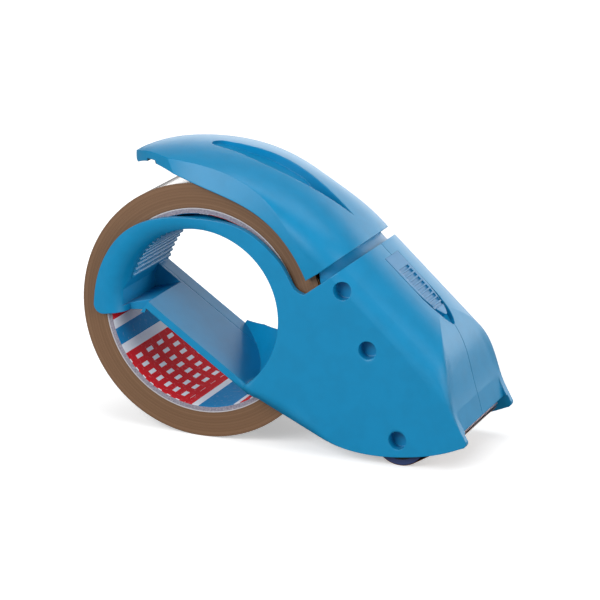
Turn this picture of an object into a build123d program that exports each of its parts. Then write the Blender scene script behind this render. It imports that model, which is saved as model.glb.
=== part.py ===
"""Hand-held carton tape dispenser with a finger-loop hub, a palm brake and a retractable blade.

Units are millimetres.  +X points to the nose, +Z up, and the two half shells part at Y = 0.
Side outlines are (x, z) points measured from the axis of the tape roll.
"""
import os
from math import acos, atan2, cos, degrees, hypot, pi, radians, sin

from build123d import *

os.makedirs("parts", exist_ok=True)

# ---------------------------------------------------------------- driving dimensions
ROLL_R = 49.6            # full tape roll, which the dispenser stands on
CORE_BORE_R = 38.0       # 76 mm cardboard core
CORE_R = 40.0
TAPE_WIDTH = 50.0
HALF_WIDTH = 28.5        # of the housing
SIDE_WALL = 2.5
INNER_HALF = HALF_WIDTH - SIDE_WALL
WALL = 2.2               # top, front and bottom walls of the housing
NOSE_REACH = 108.2       # from the roll axis to the tip of the nose
SEAM = 0.12              # half of the parting line's width
FIT = 0.06               # radial clearance of what turns on a tube

ROLL_X = (ROLL_R - NOSE_REACH) / 2
ROLL_Z = ROLL_R

# Housing, side view.
NECK_LOW = (50.2, 18.5)
NECK_TOP = (62.0, 28.0)
TOP_END = (87.0, 5.86)
PANEL_TOP = (98.0, -10.0)
PANEL_LOW = (105.0, -33.6)
PANEL_HALF = 25.0
RIM_R = 51.2             # the housing's rear edge clears the roll
LEFT_RIM_R = 53.0        # and the open side, where the roll goes on, stands back further
SHOULDER = 13.5

# Hub that carries the roll, one moulding with the right shell.
HUB_R = 36.3
HOLE_R = 32.4
HUB_END = 14.5
FLOOR_THICK = 2.8
FLOOR_CORNER = (-22.3, 0.9)
FLOOR_SLOPE = -33.6
FLOOR_NEAR = -25.4
SCOOP_END = 7.0
LOBE_WALL = 1.6
WEB_R = 46.0
WEB_THICK = 2.4
RIB_R = 0.8
RIB_COUNT = 23
RIB_FIRST = 74.0
RIB_STEP = 4.1
RIB_START = -21.5

# Posts where the shells are screwed together, and what turns on them.
PIVOT = (57.5, 15.9)
MID_POST = (68.2, -5.5)
ROLLER = (81.2, -38.8)
BOSS_R = 5.2
BOSS_LENGTH = 3.2
RECESS_R = 3.5
RECESS_DEPTH = 4.5
POST_R = 3.15
TUBE_R = 4.0
TUBE_BORE_R = 3.2
TUBE_HALF = 22.5
SCREW_R = 1.45
SCREW_HOLE_R = 1.5
SCREW_HEAD_R = 3.0
SCREW_TIP = 18.0         # depth of the pilot holes in the right shell
POSTS = (PIVOT, MID_POST, ROLLER)

# Palm arm.
NECK_GAP = 3.8
NEAR_SKIRT_R = 46.5
FAR_SKIRT_R = 52.6
ARM_WALL = 2.3
STEM_INSET = 2.8
LUG_Y = 17.0
LUG_THICK = 5.0
LUG_R = 6.3
GROOVE = (-38.0, 24.0, 8.0)   # start, end and half width, from above
PAD_R = 51.7
RIB_LOW_R = 53.7         # underside of the skin below the groove
RIB_FOOT_R = 53.95
STEM_REACH = 5.0

# Tape path.
TAPE_THICK = 0.25
TAPE_GAP = 0.15
ROLLER_R = ROLL_Z + ROLLER[1] - TAPE_THICK - TAPE_GAP
SLEEVE_THICK = 2.1
ROLLER_HALF = 25.2
ROLLER_RECESS_R = 6.6
ROLLER_RECESS = 21.0
LEADER_GAP = 0.3         # between the roll and the strip that leaves it
LEADER_HALF = 24.8
LEADER_END = (28.0, -3.6)  # its end, along the front panel and behind its skin

# Blade slide.
TRAVEL = 4.0
SLIDE_START = 5.85       # from the neck, along the top
SLIDE_LENGTH = 30.4
SLIDE_HALF = 6.6
SLIDE_THICK = 1.9
SLIDE_CLEAR = 0.25
FLOOR_DEPTH = 4.0        # underside of the thickened wall below the slide
LINK = (32.8, -7.5)      # link pin, along and above the top line from the slide's rear edge
LINK_R = 1.5
BLADE_THICK = 0.5
CARRIER_BACK = 5.3       # depth of the carrier's back face behind the panel's skin
GUIDE_THICK = 2.0
CHANNEL_WIDTH = 9.4
CHANNEL_DEPTH = 0.5
STEM_X = 16.0
STEM_LENGTH = 6.5
STEM_WIDTH = 5.8
SPRING_Y = 9.2
SPRING_START = 12.2
SPRING_END = 24.0
SPRING_R = 1.6
SPRING_WIRE_R = 0.3
SPRING_DEPTH = 6.6
YOKE_TOP = 4.25
YOKE_LOW = 6.2
YOKE_HALF = 6.0
BLADE_TOP = 8.0
BLADE_HALF = 23.8
BLADE_REACH = 2.2        # teeth below the front panel at rest
BLADE_BACK = 2.75        # depth of the blade's back face behind the panel's skin
TOOTH_PITCH = 1.5
TOOTH_DEPTH = 1.2
RIVET_R = 1.2
RIVETS = ((12.0, -15.0), (12.0, 15.0))


# ---------------------------------------------------------------- planes and outlines
def side(y=0.0):
    """Plane of a side outline at this Y; extruding goes towards -Y."""
    return Plane(origin=(ROLL_X, y, ROLL_Z), x_dir=(1, 0, 0), z_dir=(0, -1, 0))


def radial(angle):
    """Plane through the roll axis: local x is Y, local y points away from the axis."""
    a = radians(angle)
    return Plane(origin=(ROLL_X, 0, ROLL_Z), x_dir=(0, 1, 0), z_dir=(sin(a), 0, -cos(a)))


def polar(radius, angle):
    return (radius * cos(radians(angle)), radius * sin(radians(angle)))


def unit(a, b):
    length = hypot(b[0] - a[0], b[1] - a[1])
    return ((b[0] - a[0]) / length, (b[1] - a[1]) / length)


def along(point, direction, distance):
    return (point[0] + direction[0] * distance, point[1] + direction[1] * distance)


def slope_plane(point, direction):
    """Plane on a sloping face: local x runs along it, local y is Y and z points out of it."""
    origin = (ROLL_X + point[0], 0, ROLL_Z + point[1])
    return Plane(origin=origin, x_dir=(direction[0], 0, direction[1]),
                 z_dir=(-direction[1], 0, direction[0]))


def to_side(plane_point, plane_dir, local):
    """Side-view point of (along, out) on a sloping face."""
    out = (-plane_dir[1], plane_dir[0])
    return along(along(plane_point, plane_dir, local[0]), out, local[1])


TOP_DIR = unit(NECK_TOP, TOP_END)
PANEL_DIR = unit(PANEL_TOP, PANEL_LOW)
NECK_DIR = unit(NECK_LOW, NECK_TOP)
NECK_OUT = (-NECK_DIR[1], NECK_DIR[0])
PANEL_LENGTH = hypot(PANEL_LOW[0] - PANEL_TOP[0], PANEL_LOW[1] - PANEL_TOP[1])
SLIDE_POINT = along(NECK_TOP, TOP_DIR, SLIDE_START)
FLOOR_DIR = (cos(radians(FLOOR_SLOPE)), sin(radians(FLOOR_SLOPE)))
FLOOR_UP = (-FLOOR_DIR[1], FLOOR_DIR[0])


def crown(half, height, drop, fullness):
    """Points across a crowned top, from one side edge to the other."""
    points = []
    for t in (-1, -0.96, -0.82, -0.5, 0, 0.5, 0.82, 0.96, 1):
        fall = 1 - (1 - abs(t) ** (2 + fullness)) ** (1 / (1 + fullness))
        points.append((half * t, height - drop * fall))
    return points


def draw_housing_front():
    """Edges of the housing's side view from the neck round the nose to the straight underside."""
    Line(NECK_TOP, TOP_END)
    Spline(TOP_END, (93.2, -0.9), (97.2, -8.3), (99.5, -15.5), (103.3, -27.2), (107.9, -35.6),
           tangents=[TOP_DIR, (0.5, -0.87)])
    ThreePointArc((107.9, -35.6), (107.9, -37.0), (106.4, -38.2))
    Spline((106.4, -38.2), (98.0, -41.7), (85.0, -44.8), (72.6, -46.0), (60.5, -45.1),
           (50.4, -41.9), tangents=[(-0.9, -0.43), (-0.91, 0.415)])


def draw_ring_edge():
    """Outer edge of the finger ring, from its rear lobe over the top to the notch at the neck."""
    ThreePointArc((-39.9, -5.4), (-42.5, -4.4), (-43.6, -1.6))
    Spline((-43.6, -1.6), (-39.9, 15.9), (-30.0, 29.0), (-14.6, 35.4), (2.6, 36.7),
           (19.7, 33.5), (31.1, 24.9), (37.5, 15.6), tangents=[(0.02, 1), (0.5, -0.87)])
    ThreePointArc((37.5, 15.6), (42.9, 12.6), (48.0, 15.9))
    Polyline((48.0, 15.9), NECK_LOW, NECK_TOP)


def floor_point(distance, height=0.0):
    """Side-view point this far along the hub's flat floor and this far above it."""
    return along(along(FLOOR_CORNER, FLOOR_DIR, distance), FLOOR_UP, height)


# ---------------------------------------------------------------- housing, both halves
# Cross-section that rounds the shoulders of everything that follows the top slope.
shoulder_plane = Plane(origin=(ROLL_X + NECK_TOP[0], 0, ROLL_Z + NECK_TOP[1]),
                       x_dir=(0, 1, 0), z_dir=(TOP_DIR[0], 0, TOP_DIR[1]))


def shoulder_block(inset):
    """Long bar along the top slope with rounded shoulders, inset from the housing's skin."""
    half = HALF_WIDTH - inset
    with BuildPart() as bar:
        with BuildSketch(shoulder_plane):
            with BuildLine():
                top = crown(half, -inset, SHOULDER, 1.3)
                Spline(*top)
                Polyline(top[-1], (half, -110), (-half, -110), top[0])
            make_face()
        extrude(amount=90, both=True)
    return bar.part


outer_bar = shoulder_block(0)
inner_bar = shoulder_block(WALL + 0.3)

with BuildPart() as housing:
    with BuildSketch(side()):
        with BuildLine():
            draw_housing_front()
            Polyline((50.4, -41.9), (26.0, -30.8), (26.0, 0.0), NECK_LOW, NECK_TOP)
        make_face()
    extrude(amount=HALF_WIDTH, both=True)
    add(outer_bar, mode=Mode.INTERSECT)
    # front panel, set back between the cheeks
    with BuildSketch(slope_plane(PANEL_TOP, PANEL_DIR)):
        with Locations((15, 0)):
            Rectangle(50, 2 * PANEL_HALF)
    extrude(amount=20, mode=Mode.SUBTRACT)


TOP_OUT = (-TOP_DIR[1], TOP_DIR[0])
PANEL_OUT = (-PANEL_DIR[1], PANEL_DIR[0])
neck_inside = along(NECK_TOP, TOP_OUT, -WALL)
panel_inside = along(PANEL_LOW, PANEL_OUT, -WALL)

with BuildPart() as cavity:
    with BuildSketch(side()):
        with BuildLine():
            Line(along(neck_inside, TOP_DIR, -5), along(TOP_END, TOP_OUT, -WALL))
            Spline(along(TOP_END, TOP_OUT, -WALL), along(PANEL_TOP, PANEL_OUT, -WALL),
                   tangents=[TOP_DIR, PANEL_DIR])
            # down behind the front panel and out of the mouth below the nose
            Polyline(along(PANEL_TOP, PANEL_OUT, -WALL), panel_inside, PANEL_LOW, (114.0, -30.9),
                     (116.0, -60.0), (66.0, -60.0), (66.0, -43.5), (58.5, -42.3), (51.3, -39.9),
                     (30.0, -30.0), (30.0, 15.0), along(NECK_LOW, NECK_OUT, 5),
                     along(neck_inside, TOP_DIR, -5))
        make_face()
    extrude(amount=INNER_HALF, both=True)
    add(inner_bar, mode=Mode.INTERSECT)


def draw_bullet(length, half):
    """Closed outline of the thumb slide: square behind, pointed in front."""
    Polyline((length - 16.4, half), (0, half), (0, -half), (length - 16.4, -half))
    Spline((length - 16.4, -half), (length - 6.5, -0.74 * half), (length - 1.0, -0.24 * half),
           tangents=[(1, 0), (0.6, 0.8)])
    ThreePointArc((length - 1.0, -0.24 * half), (length, 0), (length - 1.0, 0.24 * half))
    Spline((length - 1.0, 0.24 * half), (length - 6.5, 0.74 * half), (length - 16.4, half),
           tangents=[(-0.6, 0.8), (-1, 0)])


def top_plane(height=0.0):
    """Plane of the top slope at the thumb slide's rear edge, moved out by this height."""
    return slope_plane(SLIDE_POINT, TOP_DIR).offset(height)


def panel_plane(depth=0.0):
    """Plane of the front panel, moved inwards by this depth."""
    return slope_plane(PANEL_TOP, PANEL_DIR).offset(-depth)


# Thicker wall below the thumb slide, and the guides behind the blade carrier.
with BuildPart() as slide_bed:
    with BuildSketch(top_plane(-FLOOR_DEPTH)):
        with Locations((19.25, 0)):
            Rectangle(39.5, 23)
    extrude(amount=FLOOR_DEPTH)
    add(housing.part, mode=Mode.INTERSECT)

with BuildPart() as shell_pair:
    add(housing.part)
    add(cavity.part, mode=Mode.SUBTRACT)
    add(slide_bed.part)
    with BuildSketch(panel_plane(CARRIER_BACK + 0.3 + GUIDE_THICK)):
        with Locations((10, -INNER_HALF + 1.5), (10, INNER_HALF - 1.5)):
            Rectangle(19, 5)
    extrude(amount=GUIDE_THICK)
    # recess for the thumb slide, and the slot for its stem
    with BuildSketch(top_plane()):
        with Locations((-SLIDE_CLEAR, 0)):
            with BuildLine():
                draw_bullet(SLIDE_LENGTH + TRAVEL + 3 * SLIDE_CLEAR, SLIDE_HALF + SLIDE_CLEAR)
            make_face()
    extrude(amount=-SLIDE_THICK - SLIDE_CLEAR, mode=Mode.SUBTRACT)
    with BuildSketch(top_plane()):
        with Locations((STEM_X + TRAVEL / 2, 0)):
            Rectangle(STEM_LENGTH + TRAVEL + 0.6, STEM_WIDTH + 0.6)
    extrude(amount=-FLOOR_DEPTH - 2, mode=Mode.SUBTRACT)

# ---------------------------------------------------------------- hub ring of the right shell
with BuildPart() as side_wall:
    with BuildSketch(side(-INNER_HALF)):
        with BuildLine():
            draw_housing_front()
            Line((50.4, -41.9), (24.5, -30.1))
            ThreePointArc((24.5, -30.1), (21.6, -29.3), (19.5, -27.3))
            Polyline((19.5, -27.3), (-10.0, -10.0), (-22.3, -3.4), (-39.9, -5.4))
            draw_ring_edge()
        make_face()
        Circle(HOLE_R, mode=Mode.SUBTRACT)
    extrude(amount=SIDE_WALL)
    add(outer_bar, mode=Mode.INTERSECT)

with BuildPart() as hub:
    with BuildSketch(side(-INNER_HALF)):
        Circle(HUB_R)
        with BuildLine():
            Polyline(floor_point(-60, -FLOOR_THICK), floor_point(90, -FLOOR_THICK),
                     floor_point(90, -90), floor_point(-60, -90),
                     floor_point(-60, -FLOOR_THICK))
        make_face(mode=Mode.SUBTRACT)
    extrude(amount=-INNER_HALF - HUB_END)
    # lobe that carries the mouth of the loop down behind the rear of the ring
    with BuildSketch(side(-HALF_WIDTH)):
        Circle(HUB_R)
        with BuildLine():
            Polyline(floor_point(0), floor_point(-30), (-50.0, 14.0), (-50.0, -6.6),
                     (-23.6, -3.6), floor_point(0))
        make_face(mode=Mode.INTERSECT)
    extrude(amount=-HALF_WIDTH - SCOOP_END)
    with BuildSketch(side(-HALF_WIDTH)):
        Circle(HOLE_R)
        with BuildLine():
            Polyline(floor_point(-60), floor_point(90), floor_point(90, -90),
                     floor_point(-60, -90), floor_point(-60))
        make_face(mode=Mode.SUBTRACT)
    extrude(amount=-HALF_WIDTH - HUB_END, mode=Mode.SUBTRACT)
    with BuildSketch(side(-HALF_WIDTH)):
        with BuildLine():
            Polyline(FLOOR_CORNER, (-33.3, -2.4), (-33.3, 4.0), (-30.0, 12.0), (-20.0, 12.0),
                     FLOOR_CORNER)
        make_face()
    extrude(amount=LOBE_WALL - HALF_WIDTH - SCOOP_END, mode=Mode.SUBTRACT)
    # the floor starts a little inside the ring's face
    with BuildSketch(side(-HALF_WIDTH)):
        with BuildLine():
            Polyline(floor_point(0, -9), floor_point(0, 9), floor_point(80, 9),
                     floor_point(80, -9), floor_point(0, -9))
        make_face()
    extrude(amount=-HALF_WIDTH - FLOOR_NEAR, mode=Mode.SUBTRACT)
    # finger ribs
    with BuildSketch(side(RIB_START)):
        for rib in range(RIB_COUNT):
            with Locations(polar(HOLE_R + 0.1, RIB_FIRST + rib * RIB_STEP)):
                Circle(RIB_R)
    extrude(amount=RIB_START - HUB_END)
    # parting step along the floor
    with BuildSketch(slope_plane(FLOOR_CORNER, FLOOR_DIR)):
        with Locations((19, SCOOP_END)):
            Rectangle(60, 0.3)
    extrude(amount=-0.3, mode=Mode.SUBTRACT)

# Curved web that ties the floor to the side wall, high at the wall and fading inwards.
with BuildPart() as gusset:
    with BuildSketch(slope_plane(FLOOR_CORNER, FLOOR_DIR)):
        with Locations((5, -25)):
            Circle(WEB_R + WEB_THICK)
            Circle(WEB_R, mode=Mode.SUBTRACT)
        with Locations((35, (HUB_END - INNER_HALF) / 2)):
            Rectangle(60, INNER_HALF + HUB_END, mode=Mode.INTERSECT)
    extrude(amount=30)
    floor_end = Plane(origin=(ROLL_X + FLOOR_CORNER[0], 0, ROLL_Z + FLOOR_CORNER[1]),
                      x_dir=(0, 1, 0), z_dir=(FLOOR_DIR[0], 0, FLOOR_DIR[1]))
    with BuildSketch(floor_end):
        with BuildLine():
            Polyline((-INNER_HALF, -2), (HUB_END, -2), (HUB_END, 1.5), (9.0, 7.5), (0.0, 14.5),
                     (-INNER_HALF, 27.5), (-INNER_HALF, -2))
        make_face()
    extrude(amount=80, mode=Mode.INTERSECT)
    with BuildSketch(side()):
        Circle(HUB_R - 0.4)
    extrude(amount=40, both=True, mode=Mode.INTERSECT)

# ---------------------------------------------------------------- right shell
BELL_PLANE = Plane(origin=(ROLL_X - 6, 0, ROLL_Z + 2))

# Bell mouth of the finger loop, widest at the rear; the flat floor stays whole.
with BuildPart() as bell_mouth:
    with BuildSketch(BELL_PLANE):
        with BuildLine():
            Polyline((26.4, -20.5), (0, -20.5), (0, -28.5), (34.4, -28.5))
            ThreePointArc((34.4, -28.5), (34.4 - 8 * cos(pi / 4), -20.5 - 8 * sin(pi / 4)),
                          (26.4, -20.5))
        make_face()
    revolve(axis=Axis(BELL_PLANE.origin, (0, 1, 0)))
    with BuildSketch(side()):
        with BuildLine():
            Polyline(FLOOR_CORNER, floor_point(80), floor_point(80, -40), floor_point(0, -40),
                     FLOOR_CORNER)
        make_face()
    extrude(amount=40, mode=Mode.SUBTRACT)

with BuildPart() as right_shell:
    add(shell_pair.part)
    split(bisect_by=Plane.XZ.offset(SEAM))
    with BuildSketch(side(-INNER_HALF)):
        Circle(RIM_R)
    extrude(amount=-INNER_HALF, mode=Mode.SUBTRACT)
    with BuildSketch(side(-HALF_WIDTH)):
        Circle(HOLE_R)
    extrude(amount=-SIDE_WALL, mode=Mode.SUBTRACT)
    add(side_wall.part)
    add(hub.part)
    add(gusset.part)
    add(bell_mouth.part, mode=Mode.SUBTRACT)
    # screw bosses and posts
    with BuildSketch(side(-INNER_HALF)):
        with Locations(*POSTS):
            Circle(BOSS_R)
    extrude(amount=-BOSS_LENGTH)
    with BuildSketch(side(-INNER_HALF)):
        with Locations(*POSTS):
            Circle(POST_R)
    extrude(amount=SEAM - INNER_HALF)
    with BuildSketch(side(RECESS_DEPTH - HALF_WIDTH)):
        with Locations(*POSTS):
            Circle(RECESS_R)
    extrude(amount=RECESS_DEPTH, mode=Mode.SUBTRACT)
    with BuildSketch(side()):
        with Locations(*POSTS):
            Circle(SCREW_HOLE_R)
    extrude(amount=SCREW_TIP, mode=Mode.SUBTRACT)
right_shell.part.label = "right_shell"
export_step(right_shell.part, "parts/right_shell.step")

# ---------------------------------------------------------------- left shell
with BuildPart() as left_shell:
    add(shell_pair.part)
    split(bisect_by=Plane.XZ.offset(-SEAM), keep=Keep.BOTTOM)
    with BuildSketch(side()):
        Circle(LEFT_RIM_R)
    extrude(amount=-HALF_WIDTH, mode=Mode.SUBTRACT)
    with BuildSketch(side(INNER_HALF)):
        with Locations(*POSTS):
            Circle(BOSS_R)
    extrude(amount=BOSS_LENGTH)
    with BuildSketch(side(INNER_HALF)):
        with Locations(*POSTS):
            Circle(POST_R)
    extrude(amount=INNER_HALF - SEAM)
    # stop for the slide's return spring
    with BuildSketch(top_plane(-FLOOR_DEPTH - 5)):
        with Locations((SPRING_END + 1, SPRING_Y)):
            Rectangle(2, 4)
    extrude(amount=6)
    with BuildSketch(side(HALF_WIDTH - RECESS_DEPTH)):
        with Locations(*POSTS):
            Circle(RECESS_R)
    extrude(amount=-RECESS_DEPTH, mode=Mode.SUBTRACT)
    with BuildSketch(side()):
        with Locations(*POSTS):
            Circle(SCREW_HOLE_R)
    extrude(amount=-HALF_WIDTH, mode=Mode.SUBTRACT)
left_shell.part.label = "left_shell"
export_step(left_shell.part, "parts/left_shell.step")

# ---------------------------------------------------------------- palm arm
# Stations along the arm, as angles about the roll axis from the neck to the tip: height of
# the crown, half width and drop at the shoulder line, how full the shoulder is, and half
# width of the skirt.
STATIONS = (
    (12, 77.2, 28.5, 13.5, 1.3, 28.5),
    (30, 65.5, 28.5, 13.5, 1.3, 28.5),
    (44, 61.2, 28.2, 11.0, 0.9, 28.5),
    (60, 58.7, 26.8, 6.0, 0.35, 28.5),
    (76, 58.3, 25.5, 3.6, 0.1, 28.5),
    (92, 59.5, 24.6, 3.0, 0.0, 28.5),
    (106, 62.2, 22.4, 2.8, 0.0, 27.5),
    (118, 65.0, 17.5, 2.2, 0.0, 22.0),
    (130, 66.6, 12.0, 1.8, 0.0, 16.0),
)
# Floor of the thumb groove: angle, and distance from the roll axis.
GROOVE_FLOOR = ((30, 66.0), (38, 60.5), (44, 56.2), (60, 55.3), (76, 55.1), (92, 57.6), (106, 63.8))
GROOVE_WALL = 3.4
SKIRT_BASE = 42.0


def arm_hull(inset, last=len(STATIONS)):
    """Solid bounded by the arm's skin, moved inwards by this much."""
    with BuildPart() as hull:
        for angle, height, half, drop, fullness, skirt in STATIONS[:last]:
            with BuildSketch(radial(angle)):
                with BuildLine():
                    top = crown(half - inset, height - inset, drop, fullness)
                    Spline(*top)
                    Polyline(top[-1], (skirt - inset, SKIRT_BASE), (inset - skirt, SKIRT_BASE),
                             top[0])
                make_face()
        loft()
    return hull.part


arm_outer = arm_hull(0)
arm_inner = arm_hull(ARM_WALL, last=8)
arm_middle = arm_hull(0.9, last=8)


def groove_block(inset):
    """Solid below the floor of the thumb groove, moved inwards by this much."""
    with BuildPart() as block:
        for angle, height in GROOVE_FLOOR:
            with BuildSketch(radial(angle)):
                with Locations((0, (30 + height - inset) / 2)):
                    Rectangle(80, height - inset - 30)
        loft(ruled=True)
    return block.part


groove_floor = groove_block(0)
groove_under = groove_block(GROOVE_WALL)

ARM_END_LOW = along(NECK_LOW, NECK_OUT, NECK_GAP)
ARM_END_TOP = along(NECK_TOP, NECK_OUT, NECK_GAP)
GROOVE_PLANE = Plane(origin=(ROLL_X + 20, 0, ROLL_Z + 30), x_dir=(0.883, 0, -0.469),
                     z_dir=(0.469, 0, 0.883))


def draw_leaf(start, end, half):
    """Leaf-shaped outline, round at the start and pointed at the end."""
    third = (end - start) / 3
    Spline((start, 0), (start + 0.35 * third, 0.66 * half), (start + 1.2 * third, half),
           (end - 0.9 * third, 0.6 * half), (end, 0), tangents=[(0, 1), (0.97, -0.24)])
    Spline((start, 0), (start + 0.35 * third, -0.66 * half), (start + 1.2 * third, -half),
           (end - 0.9 * third, -0.6 * half), (end, 0), tangents=[(0, -1), (0.97, 0.24)])


# Thumb groove in the top, and the skin that dips below it.
with BuildPart() as groove:
    with BuildSketch(GROOVE_PLANE):
        with BuildLine():
            draw_leaf(*GROOVE)
        make_face()
    extrude(amount=60)
    add(groove_floor, mode=Mode.SUBTRACT)

with BuildPart() as groove_skin:
    with BuildSketch(GROOVE_PLANE):
        with BuildLine():
            draw_leaf(GROOVE[0] - ARM_WALL, GROOVE[1], GROOVE[2] + ARM_WALL)
        make_face()
    extrude(amount=60)
    add(groove_under, mode=Mode.SUBTRACT)
    add(arm_middle, mode=Mode.INTERSECT)
    with BuildSketch(side()):
        Circle(RIB_LOW_R)
    extrude(amount=30, both=True, mode=Mode.SUBTRACT)

# Ribs under the crown that stiffen the arm and hold the brake pad.
with BuildPart() as arm_ribs:
    for rib_y in (-10.0, 10.0):
        with BuildSketch(side(rib_y + 1)):
            Circle(66)
            Circle(RIB_FOOT_R, mode=Mode.SUBTRACT)
        extrude(amount=2)
    for angle in (50, 66, 84, 104):
        with BuildSketch(radial(angle)):
            with Locations((0, (RIB_FOOT_R + 66) / 2)):
                Rectangle(2 * HALF_WIDTH, 66 - RIB_FOOT_R)
        extrude(amount=1, both=True)
    add(arm_middle, mode=Mode.INTERSECT)

# Neck stem that enters the housing, with two lugs on the pivot tube.
stem_bar = shoulder_block(STEM_INSET)
stem_core = shoulder_block(STEM_INSET + ARM_WALL)
with BuildPart() as stem:
    with BuildSketch(side()):
        with BuildLine():
            Polyline(along(ARM_END_LOW, NECK_OUT, 1), along(ARM_END_TOP, NECK_OUT, 1),
                     along(NECK_TOP, NECK_OUT, -STEM_REACH), along(NECK_LOW, NECK_OUT, -1.5),
                     along(NECK_LOW, NECK_DIR, -2.8), along(ARM_END_LOW, NECK_OUT, 1))
        make_face()
    extrude(amount=HALF_WIDTH, both=True)
    add(stem_bar, mode=Mode.INTERSECT)
    add(stem_core, mode=Mode.SUBTRACT)

with BuildPart() as lugs:
    for lug_y in (-LUG_Y, LUG_Y):
        with BuildSketch(side(lug_y + LUG_THICK / 2)):
            with Locations(PIVOT):
                Circle(LUG_R)
            with BuildLine():
                Polyline(along(PIVOT, NECK_DIR, -LUG_R), along(PIVOT, NECK_DIR, LUG_R),
                         along(along(PIVOT, NECK_DIR, 9.0), NECK_OUT, 9.0),
                         along(along(PIVOT, NECK_DIR, -1.0), NECK_OUT, 14.0),
                         along(PIVOT, NECK_DIR, -LUG_R))
            make_face()
        extrude(amount=LUG_THICK)
    add(stem_bar, mode=Mode.INTERSECT)

with BuildPart() as brake_arm:
    add(arm_outer)
    add(arm_inner, mode=Mode.SUBTRACT)
    add(groove_skin.part)
    add(arm_ribs.part)
    # near and far skirts
    with BuildSketch(side()):
        with BuildLine():
            Polyline((0.0, 0.0), (90.0, 0.0), (90.0, 5.0), ARM_END_LOW,
                     polar(NEAR_SKIRT_R, 22.8))
            ThreePointArc(polar(NEAR_SKIRT_R, 22.8), polar(NEAR_SKIRT_R, 45),
                          polar(NEAR_SKIRT_R, 66))
            Spline(polar(NEAR_SKIRT_R, 66), (10.8, 45.5), (0.5, 48.4), (-10.0, 51.2),
                   (-22.3, 53.2), (-29.5, 52.6), (-34.8, 50.6),
                   tangents=[(-0.914, 0.407), (-0.9, -0.43)])
            # round end
            ThreePointArc((-34.8, 50.6), (-37.4, 52.4), (-35.7, 55.2))
            Polyline((-35.7, 55.2), (-50.0, 80.0), (-80.0, 60.0), (-80.0, 0.0), (0.0, 0.0))
        make_face()
    extrude(amount=HALF_WIDTH + 5, both=True, mode=Mode.SUBTRACT)
    with BuildSketch(side()):
        Circle(FAR_SKIRT_R)
    extrude(amount=-HALF_WIDTH - 5, mode=Mode.SUBTRACT)
    with BuildSketch(side()):
        with BuildLine():
            Polyline(along(ARM_END_LOW, NECK_DIR, -20), along(ARM_END_TOP, NECK_DIR, 20),
                     (110.0, 30.0), (90.0, -20.0), along(ARM_END_LOW, NECK_DIR, -20))
        make_face()
    extrude(amount=HALF_WIDTH + 5, both=True, mode=Mode.SUBTRACT)
    # rounded tip, seen from above
    with BuildSketch(Plane.XY.offset(ROLL_Z)):
        with BuildLine():
            Spline((ROLL_X + 8, 29.5), (ROLL_X - 12, 25.0), (ROLL_X - 27, 15.0),
                   (ROLL_X - 38.4, 0), (ROLL_X - 27, -15.0), (ROLL_X - 12, -25.0),
                   (ROLL_X + 8, -29.5), tangents=[(-0.99, -0.1), (0.99, -0.1)])
            Polyline((ROLL_X + 8, -29.5), (ROLL_X + 90, -29.5), (ROLL_X + 90, 29.5),
                     (ROLL_X + 8, 29.5))
        make_face()
    extrude(amount=80, mode=Mode.INTERSECT)
    add(groove.part, mode=Mode.SUBTRACT)
    # room for the roll when the arm is pressed
    with BuildSketch(side(TAPE_WIDTH / 2 + 0.3)):
        Circle(PAD_R + 0.2)
    extrude(amount=TAPE_WIDTH + 0.6, mode=Mode.SUBTRACT)
    add(stem.part)
    add(lugs.part)
    # and for the bosses at the pivot
    for boss_y in (-22.5, HALF_WIDTH):
        with BuildSketch(side(boss_y)):
            with Locations(PIVOT):
                Circle(BOSS_R + 0.5)
        extrude(amount=HALF_WIDTH - 22.5, mode=Mode.SUBTRACT)
    with BuildSketch(side(-HALF_WIDTH)):
        with Locations(PIVOT):
            Circle(TUBE_R + FIT)
    extrude(amount=-2 * HALF_WIDTH, mode=Mode.SUBTRACT)
brake_arm.part.label = "brake_arm"
export_step(brake_arm.part, "parts/brake_arm.step")

with BuildPart() as brake_pad:
    with BuildSketch(side(12)):
        with BuildLine():
            ThreePointArc(polar(PAD_R, 66), polar(PAD_R, 77), polar(PAD_R, 88))
            Line(polar(PAD_R, 88), polar(RIB_LOW_R, 88))
            ThreePointArc(polar(RIB_LOW_R, 88), polar(RIB_LOW_R, 77), polar(RIB_LOW_R, 66))
            Line(polar(RIB_LOW_R, 66), polar(PAD_R, 66))
        make_face()
    extrude(amount=24)
brake_pad.part.label = "brake_pad"
export_step(brake_pad.part, "parts/brake_pad.step")

# ---------------------------------------------------------------- tubes, screws and arm spring
with BuildPart() as pivot_tube:
    with BuildSketch(side(TUBE_HALF)):
        with Locations(PIVOT):
            Circle(TUBE_R)
            Circle(TUBE_BORE_R, mode=Mode.SUBTRACT)
    extrude(amount=2 * TUBE_HALF)
pivot_tube.part.label = "pivot_tube"
export_step(pivot_tube.part, "parts/pivot_tube.step")

with BuildPart() as roller_tube:
    with BuildSketch(side(TUBE_HALF)):
        with Locations(ROLLER):
            Circle(TUBE_R)
            Circle(TUBE_BORE_R, mode=Mode.SUBTRACT)
    extrude(amount=2 * TUBE_HALF)
roller_tube.part.label = "roller_tube"
export_step(roller_tube.part, "parts/roller_tube.step")

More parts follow.
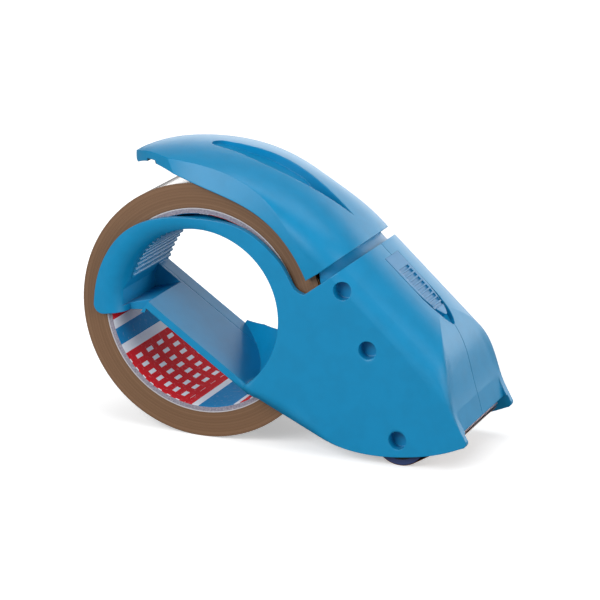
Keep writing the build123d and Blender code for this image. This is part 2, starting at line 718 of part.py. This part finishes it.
SCREW_HEAD_Y = HALF_WIDTH - RECESS_DEPTH
with BuildPart() as shell_screws:
    with BuildSketch(side(SCREW_HEAD_Y)):
        with Locations(*POSTS):
            Circle(SCREW_R)
    extrude(amount=SCREW_HEAD_Y + SCREW_TIP - 2)
    with BuildSketch(side(SCREW_HEAD_Y + 2)):
        with Locations(*POSTS):
            Circle(SCREW_HEAD_R)
    extrude(amount=2)
    # cross recesses
    with BuildSketch(side(SCREW_HEAD_Y + 2)):
        with Locations(*POSTS):
            Rectangle(3.2, 0.7)
            Rectangle(0.7, 3.2)
    extrude(amount=1.2, mode=Mode.SUBTRACT)
shell_screws.part.label = "shell_screws"
export_step(shell_screws.part, "parts/shell_screws.step")

COIL_R = 5.2
COIL_WIRE_R = 0.45
with BuildPart() as arm_spring:
    with BuildLine() as coil:
        Helix(pitch=1.15, height=9.2, radius=COIL_R, direction=(0, 1, 0),
              center=(ROLL_X + PIVOT[0], -4.6, ROLL_Z + PIVOT[1]))
    with BuildSketch(Plane(origin=coil.line @ 0, z_dir=coil.line % 0)):
        Circle(COIL_WIRE_R)
    sweep(path=coil.line, is_frenet=True)
arm_spring.part.label = "arm_spring"
export_step(arm_spring.part, "parts/arm_spring.step")

# ---------------------------------------------------------------- tape roll and its free end
with BuildPart() as tape_roll:
    with BuildSketch(side(TAPE_WIDTH / 2)):
        Circle(ROLL_R)
        Circle(CORE_R + 0.02, mode=Mode.SUBTRACT)
    extrude(amount=TAPE_WIDTH)
tape_roll.part.label = "tape_roll"
export_step(tape_roll.part, "parts/tape_roll.step")

with BuildPart() as tape_core:
    with BuildSketch(side(TAPE_WIDTH / 2)):
        Circle(CORE_R)
        Circle(CORE_BORE_R, mode=Mode.SUBTRACT)
    extrude(amount=TAPE_WIDTH)
tape_core.part.label = "tape_core"
export_step(tape_core.part, "parts/tape_core.step")

# printed paper lining inside the core
with BuildPart() as core_lining:
    with BuildSketch(side(TAPE_WIDTH / 2 - 0.2)):
        Circle(CORE_BORE_R - 0.02)
        Circle(CORE_BORE_R - 0.2, mode=Mode.SUBTRACT)
    extrude(amount=TAPE_WIDTH - 0.4)
core_lining.part.label = "core_lining"
export_step(core_lining.part, "parts/core_lining.step")

# The strip leaves the roll, runs down behind the roller, round below it and up to the blade.
WRAP_IN = ROLLER_R + TAPE_GAP
WRAP_OUT = WRAP_IN + TAPE_THICK
leave_r = ROLL_R + LEADER_GAP
leave_angle = degrees(atan2(ROLLER[1], ROLLER[0])
                      + acos((leave_r + WRAP_OUT) / hypot(*ROLLER)))
strip_end = to_side(PANEL_TOP, PANEL_DIR, LEADER_END)
end_run = (strip_end[0] - ROLLER[0], strip_end[1] - ROLLER[1])
lift_angle = 360 + degrees(atan2(end_run[1], end_run[0]) - acos(WRAP_IN / hypot(*end_run)))
wrap_start = leave_angle + 180
wrap_middle = (wrap_start + lift_angle) / 2


def on_roller(radius, angle):
    return along(ROLLER, polar(1, angle), radius)


with BuildPart() as tape_leader:
    with BuildSketch(side(LEADER_HALF)):
        with BuildLine():
            Line(polar(leave_r, leave_angle), on_roller(WRAP_OUT, wrap_start))
            ThreePointArc(on_roller(WRAP_OUT, wrap_start), on_roller(WRAP_OUT, wrap_middle),
                          on_roller(WRAP_OUT, lift_angle))
            Polyline(on_roller(WRAP_OUT, lift_angle),
                     along(strip_end, polar(1, lift_angle), TAPE_THICK),
                     strip_end, on_roller(WRAP_IN, lift_angle))
            ThreePointArc(on_roller(WRAP_IN, lift_angle), on_roller(WRAP_IN, wrap_middle),
                          on_roller(WRAP_IN, wrap_start))
            Polyline(on_roller(WRAP_IN, wrap_start), polar(leave_r + TAPE_THICK, leave_angle),
                     polar(leave_r, leave_angle))
        make_face()
    extrude(amount=2 * LEADER_HALF)
tape_leader.part.label = "tape_leader"
export_step(tape_leader.part, "parts/tape_leader.step")

# ---------------------------------------------------------------- roller
with BuildPart() as roller_core:
    with BuildSketch(side(ROLLER_HALF)):
        with Locations(ROLLER):
            Circle(ROLLER_R - SLEEVE_THICK)
            Circle(TUBE_R + FIT, mode=Mode.SUBTRACT)
    extrude(amount=2 * ROLLER_HALF)
    for end in (-1, 1):
        with BuildSketch(side(end * ROLLER_RECESS)):
            with Locations(ROLLER):
                Circle(ROLLER_RECESS_R)
        extrude(amount=end * (ROLLER_RECESS - ROLLER_HALF), mode=Mode.SUBTRACT)
roller_core.part.label = "roller_core"
export_step(roller_core.part, "parts/roller_core.step")

with BuildPart() as roller_sleeve:
    with BuildSketch(side(ROLLER_HALF)):
        with Locations(ROLLER):
            Circle(ROLLER_R)
            Circle(ROLLER_R - SLEEVE_THICK + 0.05, mode=Mode.SUBTRACT)
    extrude(amount=2 * ROLLER_HALF)
roller_sleeve.part.label = "roller_sleeve"
export_step(roller_sleeve.part, "parts/roller_sleeve.step")

# ---------------------------------------------------------------- thumb slide and its yoke
with BuildPart() as thumb_slide:
    with BuildSketch(top_plane()):
        with BuildLine():
            draw_bullet(SLIDE_LENGTH, SLIDE_HALF)
        make_face()
    extrude(amount=-SLIDE_THICK)
    # sunk channel with grip ribs across it
    with BuildSketch(top_plane()):
        with Locations((16.5, 0)):
            Rectangle(20, CHANNEL_WIDTH)
    extrude(amount=-CHANNEL_DEPTH, mode=Mode.SUBTRACT)
    with BuildSketch(top_plane(-CHANNEL_DEPTH - 0.1)):
        with Locations((16.5, 0)):
            with GridLocations(2.1, 1, 9, 1):
                Rectangle(0.7, CHANNEL_WIDTH)
    extrude(amount=CHANNEL_DEPTH + 0.1)
    with BuildSketch(top_plane(-SLIDE_THICK)):
        with Locations((STEM_X, 0)):
            Rectangle(STEM_LENGTH, STEM_WIDTH)
    extrude(amount=SLIDE_THICK - YOKE_TOP)
thumb_slide.part.label = "thumb_slide"
export_step(thumb_slide.part, "parts/thumb_slide.step")


def top_point(distance, height):
    """Side-view point this far along the top from the slide's rear edge, and this high."""
    return to_side(SLIDE_POINT, TOP_DIR, (distance, height))


with BuildPart() as slide_yoke:
    with BuildSketch(top_plane(-YOKE_TOP)):
        with Locations((18.75, 0)):
            Rectangle(19.5, 2 * YOKE_HALF)
        with Locations((10.5, 8)):
            Rectangle(3, 6)
    extrude(amount=YOKE_TOP - YOKE_LOW)
    with BuildSketch(top_plane(-YOKE_TOP)):
        with Locations((10.5, SPRING_Y)):
            Rectangle(3, 3.6)
    extrude(amount=YOKE_TOP - SPRING_DEPTH - 1.8)
    # forked ears with a slot for the link pin
    for ear_y in (-3.0, 5.0):
        with BuildSketch(side(ear_y)):
            with BuildLine():
                Polyline(top_point(20, -YOKE_TOP), top_point(36, -YOKE_TOP),
                         top_point(36, -12), top_point(29.5, -12), top_point(26, -YOKE_LOW),
                         top_point(20, -YOKE_LOW), top_point(20, -YOKE_TOP))
            make_face()
        extrude(amount=2)
    slot_end = along(top_point(*LINK), PANEL_DIR, TRAVEL)
    slot_end = along(slot_end, TOP_DIR, -TRAVEL)
    with BuildSketch(side(YOKE_HALF)):
        with Locations(top_point(*LINK), slot_end):
            Circle(LINK_R + 0.1)
        with BuildLine():
            slot_dir = unit(top_point(*LINK), slot_end)
            slot_side = (-slot_dir[1], slot_dir[0])
            Polyline(along(top_point(*LINK), slot_side, LINK_R + 0.1),
                     along(slot_end, slot_side, LINK_R + 0.1),
                     along(slot_end, slot_side, -LINK_R - 0.1),
                     along(top_point(*LINK), slot_side, -LINK_R - 0.1),
                     along(top_point(*LINK), slot_side, LINK_R + 0.1))
        make_face()
    extrude(amount=2 * YOKE_HALF, mode=Mode.SUBTRACT)
slide_yoke.part.label = "slide_yoke"
export_step(slide_yoke.part, "parts/slide_yoke.step")

with BuildPart() as slide_spring:
    with BuildLine() as turns:
        Helix(pitch=1.45, height=SPRING_END - SPRING_START - 2 * SPRING_WIRE_R - 0.1,
              radius=SPRING_R, direction=(TOP_DIR[0], 0, TOP_DIR[1]),
              center=top_plane(-SPRING_DEPTH).from_local_coords(
                  Vector(SPRING_START + SPRING_WIRE_R, SPRING_Y, 0)))
    with BuildSketch(Plane(origin=turns.line @ 0, z_dir=turns.line % 0)):
        Circle(SPRING_WIRE_R)
    sweep(path=turns.line, is_frenet=True)
slide_spring.part.label = "slide_spring"
export_step(slide_spring.part, "parts/slide_spring.step")


# ---------------------------------------------------------------- blade and its carrier
def panel_point(distance, height):
    """Side-view point this far down the front panel and this far out of it."""
    return to_side(PANEL_TOP, PANEL_DIR, (distance, height))


with BuildPart() as blade_carrier:
    with BuildSketch(panel_plane(CARRIER_BACK)):
        with Locations((13.25, 0)):
            RectangleRounded(16.5, 2 * BLADE_HALF, 2)
    extrude(amount=CARRIER_BACK - BLADE_BACK - 0.05)
    # arm up to the link pin
    with BuildSketch(side(2.4)):
        with BuildLine():
            Polyline(panel_point(12, -4.5), panel_point(6, -4.5), panel_point(-7.6, -7.6),
                     panel_point(-11.4, -12.2), panel_point(-8.2, -12.2),
                     panel_point(12, -6.6), panel_point(12, -4.5))
        make_face()
        with Locations(top_point(*LINK)):
            Circle(LINK_R + 1.5)
            Circle(LINK_R + 0.02, mode=Mode.SUBTRACT)
    extrude(amount=4.8)
    with BuildSketch(panel_plane(CARRIER_BACK)):
        with Locations(*RIVETS):
            Circle(RIVET_R + 0.05)
    extrude(amount=CARRIER_BACK, mode=Mode.SUBTRACT)
blade_carrier.part.label = "blade_carrier"
export_step(blade_carrier.part, "parts/blade_carrier.step")

with BuildPart() as blade:
    blade_tip = PANEL_LENGTH + BLADE_REACH
    teeth = round(2 * BLADE_HALF / TOOTH_PITCH)
    pitch = 2 * BLADE_HALF / teeth
    edge = [(BLADE_TOP, BLADE_HALF), (BLADE_TOP, -BLADE_HALF)]
    for tooth in range(teeth):
        foot = tooth * pitch - BLADE_HALF
        edge.append((blade_tip - TOOTH_DEPTH, foot))
        edge.append((blade_tip, foot + pitch / 2))
    edge.append((blade_tip - TOOTH_DEPTH, BLADE_HALF))
    with BuildSketch(panel_plane(BLADE_BACK)):
        with BuildLine():
            Polyline(*edge, close=True)
        make_face()
        with Locations(*RIVETS):
            Circle(RIVET_R + 0.05, mode=Mode.SUBTRACT)
    extrude(amount=BLADE_THICK)
blade.part.label = "blade"
export_step(blade.part, "parts/blade.step")

with BuildPart() as blade_rivets:
    with BuildSketch(panel_plane(CARRIER_BACK + 0.7)):
        with Locations(*RIVETS):
            Circle(2 * RIVET_R)
    extrude(amount=0.7)
    with BuildSketch(panel_plane(CARRIER_BACK)):
        with Locations(*RIVETS):
            Circle(RIVET_R)
    extrude(amount=CARRIER_BACK - BLADE_BACK + BLADE_THICK)
blade_rivets.part.label = "blade_rivets"
export_step(blade_rivets.part, "parts/blade_rivets.step")

with BuildPart() as link_pin:
    with BuildSketch(side(5.5)):
        with Locations(top_point(*LINK)):
            Circle(LINK_R)
    extrude(amount=11)
link_pin.part.label = "link_pin"
export_step(link_pin.part, "parts/link_pin.step")
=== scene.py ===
"""Looks for a hand-held tape dispenser: procedural materials, studio light and camera."""
import math

import bpy
from mathutils import Matrix, Vector


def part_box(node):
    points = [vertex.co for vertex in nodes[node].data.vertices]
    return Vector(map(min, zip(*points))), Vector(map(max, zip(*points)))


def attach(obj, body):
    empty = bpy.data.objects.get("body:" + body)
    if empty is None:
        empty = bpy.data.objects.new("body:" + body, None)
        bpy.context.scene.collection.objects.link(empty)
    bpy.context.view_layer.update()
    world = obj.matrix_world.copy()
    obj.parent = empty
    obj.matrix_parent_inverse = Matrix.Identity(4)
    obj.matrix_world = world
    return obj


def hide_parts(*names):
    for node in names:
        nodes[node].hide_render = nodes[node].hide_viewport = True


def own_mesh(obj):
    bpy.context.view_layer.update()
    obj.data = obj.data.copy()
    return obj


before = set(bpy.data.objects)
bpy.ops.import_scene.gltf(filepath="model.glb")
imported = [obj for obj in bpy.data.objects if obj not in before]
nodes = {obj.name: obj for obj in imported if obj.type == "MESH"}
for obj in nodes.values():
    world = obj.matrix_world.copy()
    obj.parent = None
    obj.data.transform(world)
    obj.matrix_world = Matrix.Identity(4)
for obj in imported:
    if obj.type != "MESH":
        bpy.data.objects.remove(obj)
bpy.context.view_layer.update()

roll_lo, roll_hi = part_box("tape_roll")
ROLL = (roll_lo + roll_hi) / 2
spring_lo, spring_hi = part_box("slide_spring")
SPRING_MIDDLE = (spring_lo + spring_hi) / 2

# The slope of the top, which the thumb slide and its spring follow, and of the front panel.
TOP_DIR = Vector((0.74857, 0, -0.66306))
PANEL_TOP = Vector((0.0687, 0, 0.0396))
PANEL_DIR = Vector((0.2844, 0, -0.9587))
CORE_SKIN_R = 0.0396      # the core's outermost layer, seen as a paler rim

# Return spring of the thumb slide: its length, mean radius, wire radius and turns.
SPRING_LENGTH = 0.0113
SPRING_R = 0.00155
SPRING_WIRE_R = 0.00028
SPRING_TURNS = 8.5

FLOOR_SIZE = 12.0
AZIMUTH, ELEVATION, TILT = math.radians(21.25), math.radians(16.08), math.radians(1.446)
CAMERA_PLACE = (0.3947, -1.0133, 0.3647)
CAMERA_LENS = 177.5


# ------------------------------------------------------------------ node helpers
class Shader:
    """A Principled material, with short ways to add the nodes it uses."""

    def __init__(self, name, color, rough=0.5, metal=0.0):
        self.mat = bpy.data.materials.new(name)
        self.mat.use_nodes = True
        self.tree = self.mat.node_tree
        self.bsdf = self.tree.nodes["Principled BSDF"]
        self.set("Base Color", (*color, 1))
        self.set("Roughness", rough)
        self.set("Metallic", metal)
        self.coord = self.node("ShaderNodeTexCoord")

    def node(self, kind, **props):
        made = self.tree.nodes.new(kind)
        for key, value in props.items():
            setattr(made, key, value)
        return made

    def link(self, a, b):
        self.tree.links.new(a, b)

    def set(self, socket, value):
        self.bsdf.inputs[socket].default_value = value

    def math(self, op, a, b=None):
        made = self.node("ShaderNodeMath", operation=op)
        for slot, value in ((0, a), (1, b)):
            if value is None:
                continue
            if isinstance(value, (int, float)):
                made.inputs[slot].default_value = value
            else:
                self.link(value, made.inputs[slot])
        return made.outputs[0]

    def noise(self, scale, detail=2.0, rough=0.5, vector=None, stretch=None):
        made = self.node("ShaderNodeTexNoise")
        made.inputs["Scale"].default_value = scale
        made.inputs["Detail"].default_value = detail
        made.inputs["Roughness"].default_value = rough
        source = vector or self.coord.outputs["Object"]
        if stretch:
            mapping = self.node("ShaderNodeMapping")
            mapping.inputs["Scale"].default_value = stretch
            self.link(source, mapping.inputs["Vector"])
            source = mapping.outputs[0]
        self.link(source, made.inputs["Vector"])
        return made.outputs[0]

    def ramp(self, value, stops, interpolation="LINEAR"):
        made = self.node("ShaderNodeValToRGB")
        made.color_ramp.interpolation = interpolation
        elements = made.color_ramp.elements
        while len(elements) < len(stops):
            elements.new(0.5)
        for element, (place, color) in zip(elements, stops):
            element.position = place
            element.color = (*color, 1)
        self.link(value, made.inputs[0])
        return made.outputs[0]

    def mix(self, factor, a, b):
        made = self.node("ShaderNodeMix", data_type="RGBA")
        for slot, value in ((0, factor), (6, a), (7, b)):
            if isinstance(value, (int, float)):
                made.inputs[slot].default_value = value
            elif isinstance(value, tuple):
                made.inputs[slot].default_value = (*value, 1)
            else:
                self.link(value, made.inputs[slot])
        return made.outputs[2]

    def relief(self, height, strength, distance, edge=0.0):
        """Bump from a height, over edges rounded in the shading by this radius."""
        bump = self.node("ShaderNodeBump")
        bump.inputs["Strength"].default_value = strength
        bump.inputs["Distance"].default_value = distance
        self.link(height, bump.inputs["Height"])
        if edge:
            bevel = self.node("ShaderNodeBevel", samples=8)
            if isinstance(edge, float):
                bevel.inputs["Radius"].default_value = edge
            else:
                self.link(edge, bevel.inputs["Radius"])
            self.link(bevel.outputs[0], bump.inputs["Normal"])
        self.link(bump.outputs[0], self.bsdf.inputs["Normal"])

    def polar(self, centre):
        """Radius and angle about the Y axis through this centre, and the Y place."""
        shift = self.node("ShaderNodeVectorMath", operation="SUBTRACT")
        shift.inputs[1].default_value = centre
        self.link(self.coord.outputs["Object"], shift.inputs[0])
        split = self.node("ShaderNodeSeparateXYZ")
        self.link(shift.outputs[0], split.inputs[0])
        x, y, z = split.outputs
        radius = self.math("SQRT", self.math("ADD", self.math("MULTIPLY", x, x),
                                             self.math("MULTIPLY", z, z)))
        angle = self.math("ARCTAN2", z, x)
        return radius, angle, y

    def along(self, point, direction):
        """Distance of the surface from a point, measured along a direction."""
        shift = self.node("ShaderNodeVectorMath", operation="SUBTRACT")
        shift.inputs[1].default_value = point
        self.link(self.coord.outputs["Object"], shift.inputs[0])
        dot = self.node("ShaderNodeVectorMath", operation="DOT_PRODUCT")
        dot.inputs[1].default_value = direction
        self.link(shift.outputs[0], dot.inputs[0])
        return dot.outputs["Value"]

    def fade(self, value, low, high, to_low=0.0, to_high=1.0):
        """Smooth step from one value to another while the input goes from low to high."""
        made = self.node("ShaderNodeMapRange", interpolation_type="SMOOTHSTEP")
        for slot, number in enumerate((low, high, to_low, to_high), 1):
            made.inputs[slot].default_value = number
        self.link(value, made.inputs[0])
        return made.outputs[0]

    def facing_side(self):
        """1 on faces that look along Y, 0 on the rest."""
        split = self.node("ShaderNodeSeparateXYZ")
        self.link(self.coord.outputs["Normal"], split.inputs[0])
        return self.math("GREATER_THAN", self.math("ABSOLUTE", split.outputs[1]), 0.7)


def srgb(r, g, b):
    def one(c):
        c /= 255
        return c / 12.92 if c <= 0.04045 else ((c + 0.055) / 1.055) ** 2.4
    return (one(r), one(g), one(b))


# ------------------------------------------------------------------ materials
def blue_plastic(name, color, rough, grain, nose=False):
    """Moulded plastic with a fine grain."""
    s = Shader(name, color, rough)
    s.set("Specular IOR Level", 0.45)
    mottled = s.noise(160, 3)
    s.link(s.mix(s.fade(mottled, 0.35, 0.7), color, tuple(c * 0.94 for c in color)),
           s.bsdf.inputs["Base Color"])
    edge = 0.0005
    if nose:
        # the corner beside the front panel is soft at the top and sharpens towards the lip
        down = s.along(PANEL_TOP, PANEL_DIR)
        soft = s.math("MULTIPLY", s.fade(down, -0.012, 0.0), s.fade(down, 0.006, 0.024, 1.0, 0.0))
        # but the parting line in the middle stays fine
        off_seam = s.fade(s.math("ABSOLUTE", s.along((0, 0, 0), (0, 1, 0))), 0.012, 0.02)
        soft = s.math("MULTIPLY", soft, off_seam)
        edge = s.math("ADD", s.math("MULTIPLY", soft, 0.006), 0.0004)
    s.relief(s.noise(2600, 2, 0.6), grain, 0.00006, edge)
    return s.mat


BLUE = srgb(0, 137, 188)
shell_mat = blue_plastic("shell_blue", BLUE, 0.38, 0.3, nose=True)
arm_mat = blue_plastic("arm_blue", BLUE, 0.38, 0.3)
slide_mat = blue_plastic("slide_blue", srgb(0, 126, 180), 0.34, 0.12)


def tape_side():
    """Wound tape: fine layers on its two sides, and glossy brown film outside."""
    s = Shader("wound_tape", srgb(140, 108, 84), 0.35)
    radius, _, _ = s.polar(ROLL)
    along = s.node("ShaderNodeCombineXYZ")
    s.link(radius, along.inputs[0])
    fine = s.noise(9000, 3, 0.7, along.outputs[0])
    broad = s.noise(900, 2, 0.6, along.outputs[0])
    lines = s.math("ADD", s.math("MULTIPLY", fine, 0.6), s.math("MULTIPLY", broad, 0.4))
    side_color = s.ramp(lines, [(0.3, srgb(84, 58, 38)), (0.5, srgb(122, 90, 64)),
                                (0.68, srgb(158, 124, 96))])
    face_color = s.mix(s.noise(60, 2), srgb(84, 54, 30), srgb(100, 66, 40))
    flat = s.facing_side()
    s.link(s.mix(flat, face_color, side_color), s.bsdf.inputs["Base Color"])
    s.link(s.math("ADD", s.math("MULTIPLY", flat, 0.22), 0.16), s.bsdf.inputs["Roughness"])
    s.relief(s.math("MULTIPLY", lines, flat), 0.5, 0.00008, 0.00025)
    return s.mat


def cardboard():
    """Grey board with a paler outer layer."""
    s = Shader("core_card", srgb(150, 145, 158), 0.9)
    radius, _, _ = s.polar(ROLL)
    rough = s.noise(1400, 4, 0.7)
    paper = s.ramp(rough, [(0.3, srgb(112, 106, 120)), (0.55, srgb(152, 147, 160)),
                           (0.75, srgb(186, 182, 190))])
    rim = s.math("GREATER_THAN", radius, CORE_SKIN_R)
    s.link(s.mix(rim, paper, srgb(196, 194, 198)), s.bsdf.inputs["Base Color"])
    s.relief(rough, 0.8, 0.0002, 0.0001)
    return s.mat


def lining():
    """Printed paper: stripes across the core, by angle in degrees about its axis."""
    s = Shader("core_print", srgb(230, 230, 235), 0.75)
    s.set("Specular IOR Level", 0.12)
    _, angle, y = s.polar(ROLL)
    turn = s.math("FRACT", s.math("ADD", s.math("DIVIDE", angle, 2 * math.pi), 1.0))
    white, red, blue = srgb(232, 236, 244), srgb(212, 10, 30), srgb(0, 130, 190)
    bands = [(0, white), (10, blue), (32, white), (37, red), (87, white), (92, blue),
             (114, white), (118, red), (125, white), (130, blue), (141, white), (146, red),
             (180, white), (185.4, red), (191.6, white), (197.1, blue), (208.1, white),
             (212.8, red), (263.1, white), (267.8, blue), (290, white), (294.6, red),
             (301, white), (306, blue), (328, white), (333, red)]
    print_color = s.ramp(turn, [(a / 360, c) for a, c in bands], "CONSTANT")
    # rows of plain marks across the wide red field
    step = s.math("FRACT", s.math("MULTIPLY", turn, 60.0))
    row = s.math("FRACT", s.math("ADD", s.math("DIVIDE", y, 0.0098), 0.25))
    off_row = s.math("ABSOLUTE", s.math("SUBTRACT", row, 0.5))
    off_step = s.math("ABSOLUTE", s.math("SUBTRACT", step, 0.5))
    bar = s.math("MULTIPLY", s.math("LESS_THAN", off_row, 0.26),
                 s.math("LESS_THAN", off_step, 0.2))
    field = s.math("MULTIPLY", s.math("GREATER_THAN", turn, 216 / 360),
                   s.math("LESS_THAN", turn, 260 / 360))
    marked = s.mix(s.math("MULTIPLY", bar, field), print_color, white)
    worn = s.fade(s.noise(700, 3, 0.6), 0.55, 0.75, 0.0, 0.2)
    s.link(s.mix(worn, marked, srgb(180, 180, 190)),
           s.bsdf.inputs["Base Color"])
    s.relief(s.noise(1500, 3), 0.2, 0.0001)
    return s.mat


def film():
    """Clear brown tape in a single layer."""
    s = Shader("tape_film", srgb(150, 100, 55), 0.2)
    s.set("Transmission Weight", 0.35)
    s.set("IOR", 1.45)
    s.relief(s.noise(120, 2), 0.1, 0.0002)
    return s.mat


def steel(name, color, rough, stretch):
    """Metal with streaks, drawn out along the axis whose stretch is smallest."""
    s = Shader(name, color, rough, 1.0)
    streaks = s.noise(900, 3, 0.6, stretch=stretch)
    s.link(s.math("ADD", s.math("MULTIPLY", streaks, 0.2), rough - 0.1),
           s.bsdf.inputs["Roughness"])
    s.relief(streaks, 0.2, 0.00004, 0.0001)
    return s.mat


def plain(name, color, rough):
    """Dark plastic or rubber with a slight grain."""
    s = Shader(name, color, rough)
    s.relief(s.noise(1800, 3, 0.6), 0.25, 0.0001, 0.0003)
    return s.mat


mats = {
    "right_shell": shell_mat, "left_shell": shell_mat, "brake_arm": arm_mat,
    "thumb_slide": slide_mat, "tape_roll": tape_side(), "tape_core": cardboard(),
    "core_lining": lining(), "tape_leader": film(),
    "roller_core": plain("black_plastic", srgb(22, 22, 26), 0.45),
    "roller_sleeve": plain("navy_rubber", srgb(52, 68, 112), 0.42),
    "brake_pad": plain("black_rubber", srgb(28, 28, 30), 0.8),
    # the blade's pinkish tint is a painted reflection of the brown tape, not the steel's own
    # colour
    "blade": steel("blade_steel", srgb(226, 208, 216), 0.34, (1, 1, 0.05)),
}
spring = steel("spring_steel", srgb(150, 150, 155), 0.3, (1, 1, 1))
tube = steel("tube_steel", srgb(190, 190, 196), 0.25, (1, 0.05, 1))
dark = plain("yoke_plastic", srgb(30, 32, 38), 0.5)
for name in ("shell_screws", "arm_spring", "slide_spring", "blade_rivets", "link_pin"):
    mats[name] = spring
mats["pivot_tube"] = tube
mats["roller_tube"] = tube
mats["slide_yoke"] = dark
mats["blade_carrier"] = dark

for name, obj in nodes.items():
    obj.data.materials.clear()
    obj.data.materials.append(mats[name])


# ------------------------------------------------------------------ return spring
def coil(name, middle, axis, length, radius, wire, turns, around=10, per_turn=28):
    """Wire wound round an axis, with closed end turns."""
    axis = axis.normalized()
    across = Vector((0, 1, 0))
    third = axis.cross(across)
    steps = int(turns * per_turn)
    points = []
    for i in range(steps + 1):
        share = i / steps
        # the first and last turn lie flat against each other
        eased = min(max((share * turns - 0.8) / (turns - 1.6), 0), 1)
        height = (eased - 0.5) * (length - 4 * wire) + (share - 0.5) * 2 * wire
        turn = 2 * math.pi * turns * share
        points.append(middle + axis * height
                      + (across * math.cos(turn) + third * math.sin(turn)) * radius)
    verts, faces = [], []
    for i, p in enumerate(points):
        ahead = points[min(i + 1, steps)] - points[max(i - 1, 0)]
        ahead.normalize()
        out = (p - middle) - axis * (p - middle).dot(axis)
        out.normalize()
        side = ahead.cross(out).normalized()
        for k in range(around):
            a = 2 * math.pi * k / around
            verts.append(p + (out * math.cos(a) + side * math.sin(a)) * wire)
    for i in range(steps):
        for k in range(around):
            a, b = i * around + k, i * around + (k + 1) % around
            faces.append((a, b, b + around, a + around))
    faces.append(tuple(range(around))[::-1])
    faces.append(tuple(steps * around + k for k in range(around)))
    mesh = bpy.data.meshes.new(name)
    mesh.from_pydata(verts, [], faces)
    mesh.polygons.foreach_set("use_smooth", [True] * len(faces))
    mesh.materials.append(spring)
    obj = bpy.data.objects.new(name, mesh)
    bpy.context.scene.collection.objects.link(obj)
    return obj


return_spring = coil("return_spring", SPRING_MIDDLE, TOP_DIR, SPRING_LENGTH, SPRING_R,
                     SPRING_WIRE_R, SPRING_TURNS)
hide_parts("slide_spring")
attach(return_spring, "housing")
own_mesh(return_spring)


# ------------------------------------------------------------------ floor, light, camera
def flat_floor(name, size):
    half = size / 2
    mesh = bpy.data.meshes.new(name)
    mesh.from_pydata([(-half, -half, 0), (half, -half, 0), (half, half, 0), (-half, half, 0)],
                     [], [(0, 1, 2, 3)])
    obj = bpy.data.objects.new(name, mesh)
    bpy.context.scene.collection.objects.link(obj)
    return obj


def by_camera(tree, seen, felt):
    """Mixes two shaders: what the camera sees, and what lights the object."""
    path = tree.nodes.new("ShaderNodeLightPath")
    mix = tree.nodes.new("ShaderNodeMixShader")
    tree.links.new(path.outputs["Is Camera Ray"], mix.inputs[0])
    tree.links.new(felt, mix.inputs[1])
    tree.links.new(seen, mix.inputs[2])
    return mix.outputs[0]


floor = flat_floor("floor", FLOOR_SIZE)
floor_shader = Shader("floor", (0.9, 0.9, 0.9), 0.9)
floor_shader.set("Emission Color", (1, 1, 1, 1))
floor_shader.set("Emission Strength", 0.42)
floor_shader.set("Specular IOR Level", 0.0)
dim = floor_shader.node("ShaderNodeBsdfDiffuse")
dim.inputs[0].default_value = (0.3, 0.3, 0.3, 1)
floor_out = by_camera(floor_shader.tree, floor_shader.bsdf.outputs[0], dim.outputs[0])
floor_shader.link(floor_out, floor_shader.tree.nodes["Material Output"].inputs[0])
floor.data.materials.append(floor_shader.mat)


def area(name, place, aim, size, power):
    light = bpy.data.lights.new(name, "AREA")
    light.shape = "RECTANGLE"
    light.size, light.size_y = size
    light.energy = power
    obj = bpy.data.objects.new(name, light)
    obj.location = place
    obj.rotation_euler = (Vector(aim) - Vector(place)).to_track_quat("-Z", "Y").to_euler()
    bpy.context.scene.collection.objects.link(obj)


area("key", (-0.55, -1.1, 0.7), (0, 0, 0.05), (0.9, 0.9), 15)
area("back", (0.25, 1.15, 0.3), (0, 0, 0.28), (2.4, 0.58), 10.5)
area("top", (0.1, 0.25, 1.3), (0, 0, 0.05), (1.0, 0.8), 5)
area("front", (1.1, -0.45, 0.5), (0.03, 0, 0.04), (0.7, 0.7), 7)

world = bpy.data.worlds.new("studio")
bpy.context.scene.world = world
world.use_nodes = True
seen = world.node_tree.nodes["Background"]
seen.inputs[0].default_value = (1, 1, 1, 1)
seen.inputs[1].default_value = 1.0
felt = world.node_tree.nodes.new("ShaderNodeBackground")
felt.inputs[0].default_value = (0.92, 0.96, 1, 1)
felt.inputs[1].default_value = 0.22
world_out = by_camera(world.node_tree, seen.outputs[0], felt.outputs[0])
world.node_tree.links.new(world_out, world.node_tree.nodes["World Output"].inputs[0])

toward_camera = Vector((math.sin(AZIMUTH) * math.cos(ELEVATION),
                        -math.cos(AZIMUTH) * math.cos(ELEVATION), math.sin(ELEVATION)))
cam = bpy.data.cameras.new("camera")
cam.lens = CAMERA_LENS
cam.sensor_width = 36
cam.clip_start, cam.clip_end = 0.05, 50
camera = bpy.data.objects.new("camera", cam)
look = (-toward_camera).to_track_quat("-Z", "Y").to_matrix().to_4x4()
camera.matrix_world = (Matrix.Translation(CAMERA_PLACE) @ look
                       @ Matrix.Rotation(TILT, 4, "Z"))
bpy.context.scene.collection.objects.link(camera)
bpy.context.scene.camera = camera
bpy.context.scene.view_settings.view_transform = "Standard"
